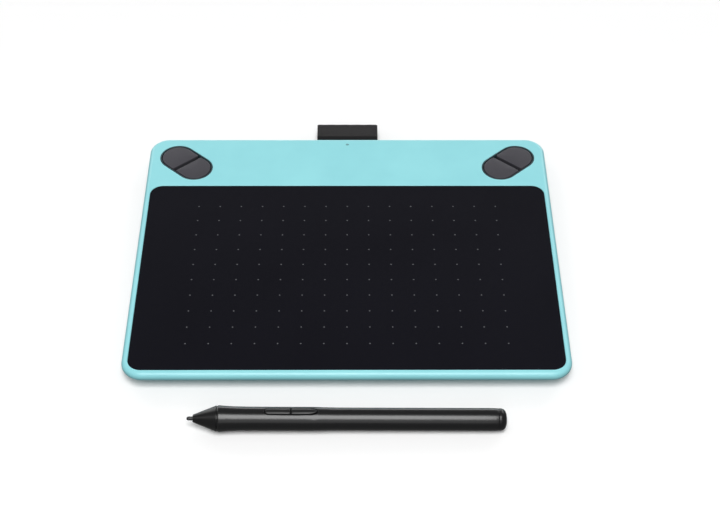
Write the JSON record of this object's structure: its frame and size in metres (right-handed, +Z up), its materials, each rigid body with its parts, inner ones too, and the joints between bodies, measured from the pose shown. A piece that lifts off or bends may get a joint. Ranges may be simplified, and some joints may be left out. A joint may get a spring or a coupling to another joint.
{
  "type": "pen drawing tablet",
  "caption": "Flat pen drawing tablet with corner express keys, a woven pen loop behind, an underside accessory bay and a cordless pen with side buttons lying in front.",
  "frame": {"origin": "bottom centre of the whole outline, tablet, pen loop and pen together, on the surface they lie on", "axes": "+Z up, +X to the user's right, +Y away from the user, towards the pen loop"},
  "size_m": [0.21, 0.2144, 0.012],
  "materials": {
    "mint_shell": "satin moulded, fine spark texture",
    "surface_sheet": "matt textured drawing sheet with a printed dot grid",
    "key_plastic": "satin",
    "bezel_plastic": "satin",
    "dome_metal": "satin",
    "circuit_board": "solder resist",
    "black_plastic": "matt",
    "flat_cable": "semi-gloss film",
    "shield_aluminium": "brushed",
    "steel": "plated",
    "light_lens": "clear, unlit",
    "woven_fabric": "close woven ribbon",
    "rubber_foot": "matt",
    "pen_body": "soft satin",
    "pen_cone": "semi-gloss",
    "nib_plastic": "hard matt",
    "ferrite": "sintered",
    "copper_wire": "enamelled wire"
  },
  "bodies": {
    "tablet": {"top_case": "mint_shell", "bottom_case": "mint_shell", "drawing_surface": "surface_sheet", "key_bezel_left": "bezel_plastic", "key_bezel_right": "bezel_plastic", "dome_switch_left_outer": "dome_metal", "dome_switch_left_inner": "dome_metal", "dome_switch_right_inner": "dome_metal", "dome_switch_right_outer": "dome_metal", "controller_board": "circuit_board", "key_board_right": "circuit_board", "sensor_board": "circuit_board", "controller_chip": "black_plastic", "battery_connector": "black_plastic", "loop_anchor": "black_plastic", "usb_tongue": "black_plastic", "board_link_cable": "flat_cable", "sensor_flex": "flat_cable", "shield_plate": "shield_aluminium", "usb_socket": "steel", "case_screw_front_left": "steel", "case_screw_front_right": "steel", "case_screw_rear_left": "steel", "case_screw_rear_right": "steel", "nib_removal_ring": "steel", "status_led": "light_lens", "led_light_pipe": "light_lens", "pen_loop": "woven_fabric", "foot_front_left": "rubber_foot", "foot_front_right": "rubber_foot", "foot_rear_left": "rubber_foot", "foot_rear_right": "rubber_foot", "spare_nib_1": "nib_plastic", "spare_nib_2": "nib_plastic", "spare_nib_3": "nib_plastic"},
    "key_left_outer": {"express_key_left_outer": "key_plastic"},
    "key_left_inner": {"express_key_left_inner": "key_plastic"},
    "key_right_inner": {"express_key_right_inner": "key_plastic"},
    "key_right_outer": {"express_key_right_outer": "key_plastic"},
    "cover": {"accessory_cover": "mint_shell"},
    "pen": {"pen_barrel": "pen_body", "pen_nose_cone": "pen_cone", "pen_end_cap": "pen_body", "pen_coil": "copper_wire", "pressure_sensor": "black_plastic", "pen_board": "circuit_board", "pen_chassis": "black_plastic", "pen_switch_front": "dome_metal", "pen_switch_rear": "dome_metal"},
    "pen_core": {"nib_holder": "ferrite"},
    "pen_nib": {"nib": "nib_plastic"},
    "pen_switch_front_button": {"pen_button_front": "key_plastic"},
    "pen_switch_rear_button": {"pen_button_rear": "key_plastic"}
  },
  "joints": [
    {"name": "key_left_outer_press", "type": "slide", "parent": "tablet", "child": "key_left_outer", "axis": [0, 0, -1], "range_m": [0, 0.0005], "stiffness_N_per_m": 600, "springref_m": -0.0005},
    {"name": "key_left_inner_press", "type": "slide", "parent": "tablet", "child": "key_left_inner", "axis": [0, 0, -1], "range_m": [0, 0.0005], "stiffness_N_per_m": 600, "springref_m": -0.0005},
    {"name": "key_right_inner_press", "type": "slide", "parent": "tablet", "child": "key_right_inner", "axis": [0, 0, -1], "range_m": [0, 0.0005], "stiffness_N_per_m": 600, "springref_m": -0.0005},
    {"name": "key_right_outer_press", "type": "slide", "parent": "tablet", "child": "key_right_outer", "axis": [0, 0, -1], "range_m": [0, 0.0005], "stiffness_N_per_m": 600, "springref_m": -0.0005},
    {"name": "cover_open", "type": "hinge", "parent": "tablet", "child": "cover", "pos_m": [0, 0.06085, 0.0008], "axis": [-1, 0, 0], "range_deg": [0, 80]},
    {"name": "pen_lift", "type": "slide", "parent": "tablet", "child": "pen", "axis": [0, 0, 1], "range_m": [0, 0.1]},
    {"name": "nib_press", "type": "slide", "parent": "pen", "child": "pen_core", "axis": [1, 0, -0.007], "range_m": [0, 0.0004], "stiffness_N_per_m": 3000, "springref_m": -0.0002},
    {"name": "nib_pull_out", "type": "slide", "parent": "pen_core", "child": "pen_nib", "axis": [-1, 0, 0.007], "range_m": [0, 0.015]},
    {"name": "pen_front_button_press", "type": "hinge", "parent": "pen", "child": "pen_switch_front_button", "pos_m": [-0.02517, -0.10125, 0.01029], "axis": [0, -1, 0], "range_deg": [0, 2.5], "stiffness_Nm_per_rad": 0.15, "springref_deg": -1.15},
    {"name": "pen_rear_button_press", "type": "hinge", "parent": "pen", "child": "pen_switch_rear_button", "pos_m": [-0.02517, -0.10125, 0.01029], "axis": [0, 1, 0], "range_deg": [0, 2.5], "stiffness_Nm_per_rad": 0.15, "springref_deg": -1.15}
  ]
}
